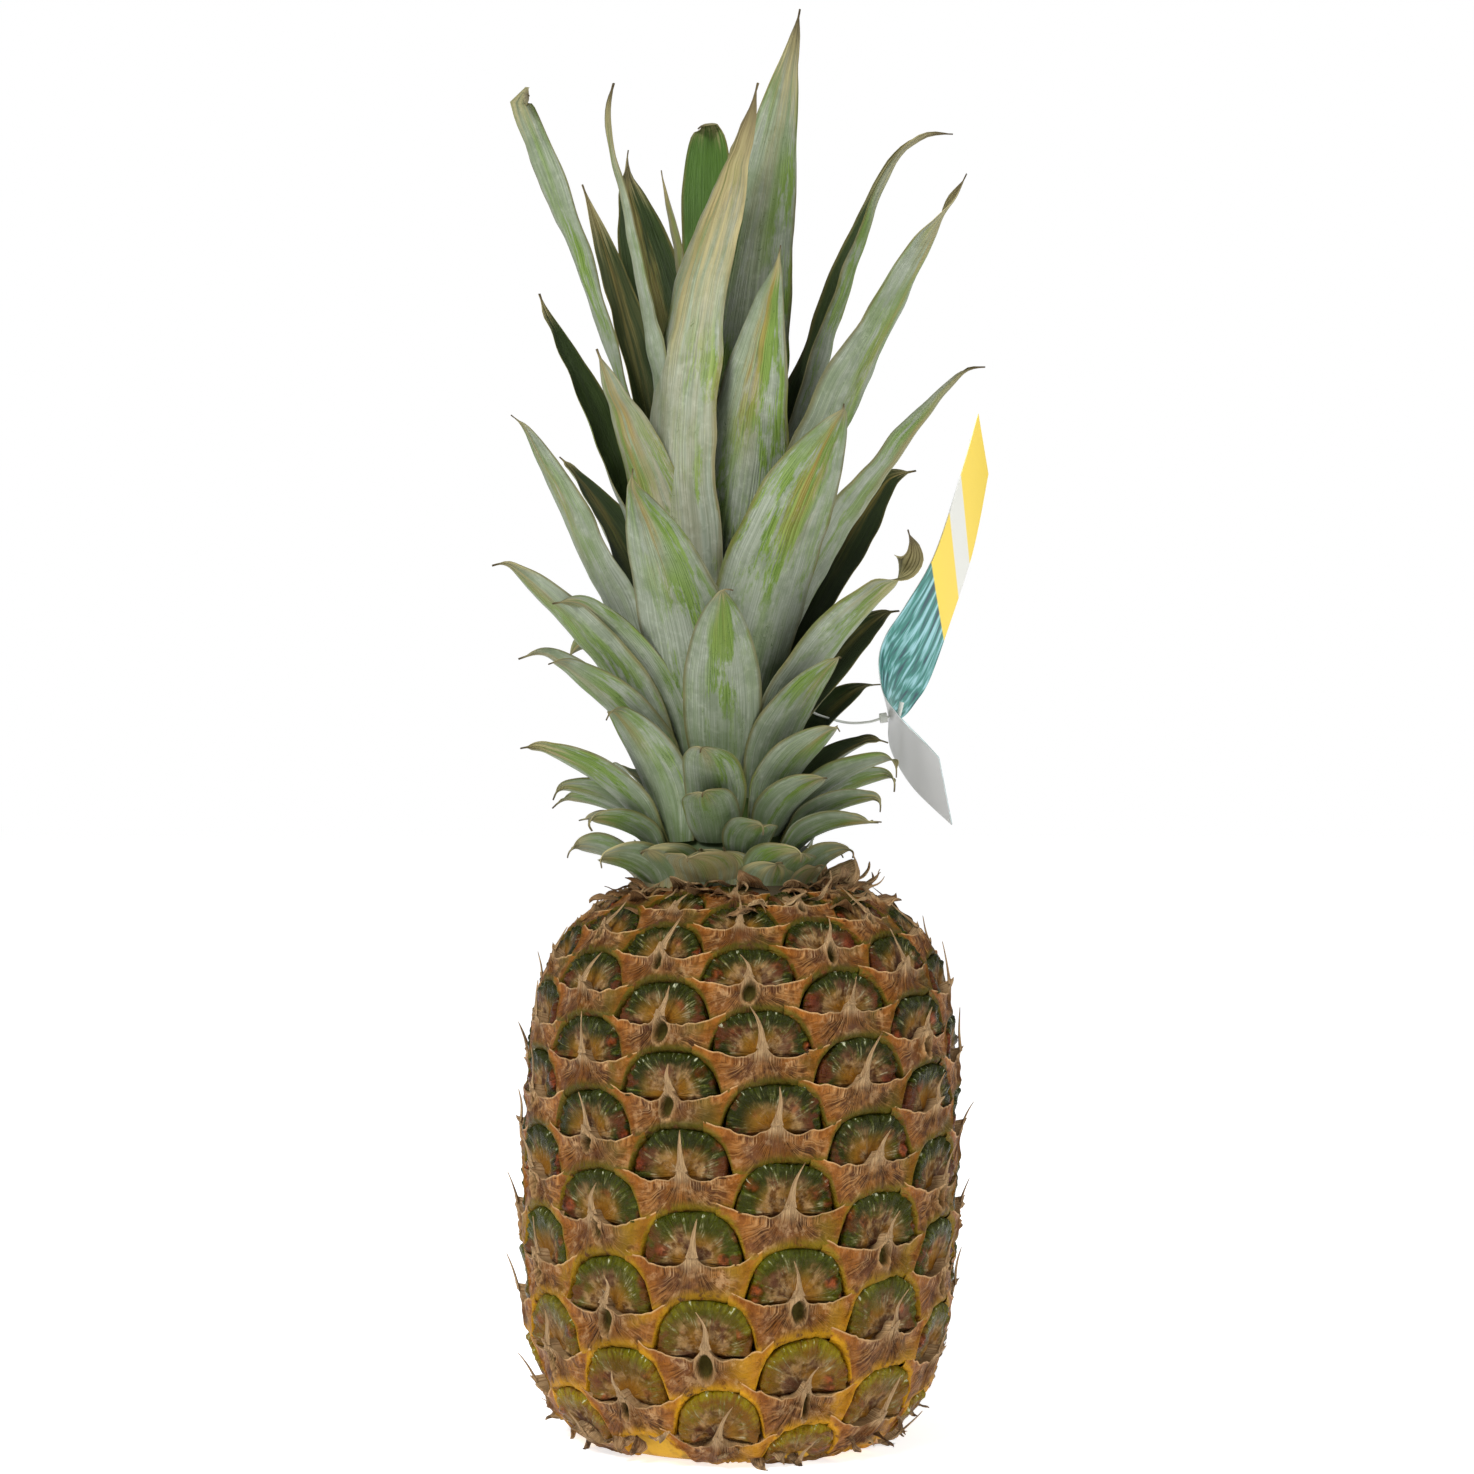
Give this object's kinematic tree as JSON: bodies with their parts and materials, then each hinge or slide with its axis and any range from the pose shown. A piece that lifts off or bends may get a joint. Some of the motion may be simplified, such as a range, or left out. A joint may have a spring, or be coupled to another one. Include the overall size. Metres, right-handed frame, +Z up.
{
  "type": "pineapple",
  "caption": "Whole upright pineapple: an oval fruit with a relief of spined eyes, a tall crown of pointed leaves, and a small curled card tag pinned to a leaf.",
  "frame": {"origin": "on the flat cut base, under the fruit, where the fruit stands on a surface", "axes": "+Z up from the base to the crown, -Y towards the front, +X to the right seen from the front"},
  "size_m": [0.1368, 0.1287, 0.3882],
  "materials": {
    "rind": "rough papery bracts round waxy green and brown eyes",
    "leaf": "waxy leaf, pale powdery outside and dark green inside",
    "card": "smooth coated card with plain coloured bands",
    "thread": "translucent pale plastic"
  },
  "bodies": {
    "root": {"fruit": "rind", "crown_stem": "leaf", "leaf_01": "leaf", "leaf_02": "leaf", "leaf_03": "leaf", "leaf_04": "leaf", "leaf_05": "leaf", "leaf_06": "leaf", "leaf_07": "leaf", "leaf_08": "leaf", "leaf_09": "leaf", "leaf_10": "leaf", "leaf_11": "leaf", "leaf_12": "leaf", "leaf_13": "leaf", "leaf_14": "leaf", "leaf_15": "leaf", "leaf_16": "leaf", "leaf_17": "leaf", "leaf_18": "leaf", "leaf_19": "leaf", "leaf_20": "leaf", "leaf_21": "leaf", "leaf_22": "leaf", "leaf_23": "leaf", "leaf_24": "leaf", "leaf_25": "leaf", "leaf_26": "leaf", "leaf_27": "leaf", "leaf_28": "leaf", "leaf_29": "leaf", "leaf_30": "leaf", "leaf_31": "leaf", "leaf_32": "leaf", "leaf_33": "leaf", "leaf_34": "leaf", "leaf_35": "leaf", "leaf_36": "leaf", "leaf_37": "leaf", "leaf_38": "leaf", "leaf_39": "leaf", "leaf_40": "leaf", "leaf_41": "leaf", "leaf_42": "leaf", "leaf_43": "leaf", "leaf_44": "leaf", "leaf_45": "leaf", "leaf_46": "leaf", "leaf_47": "leaf", "leaf_48": "leaf", "leaf_49": "leaf", "leaf_50": "leaf", "leaf_51": "leaf", "leaf_52": "leaf", "leaf_53": "leaf", "leaf_54": "leaf", "leaf_55": "leaf", "leaf_56": "leaf", "tag": "card", "tag_pin": "thread"}
  },
  "joints": []
}
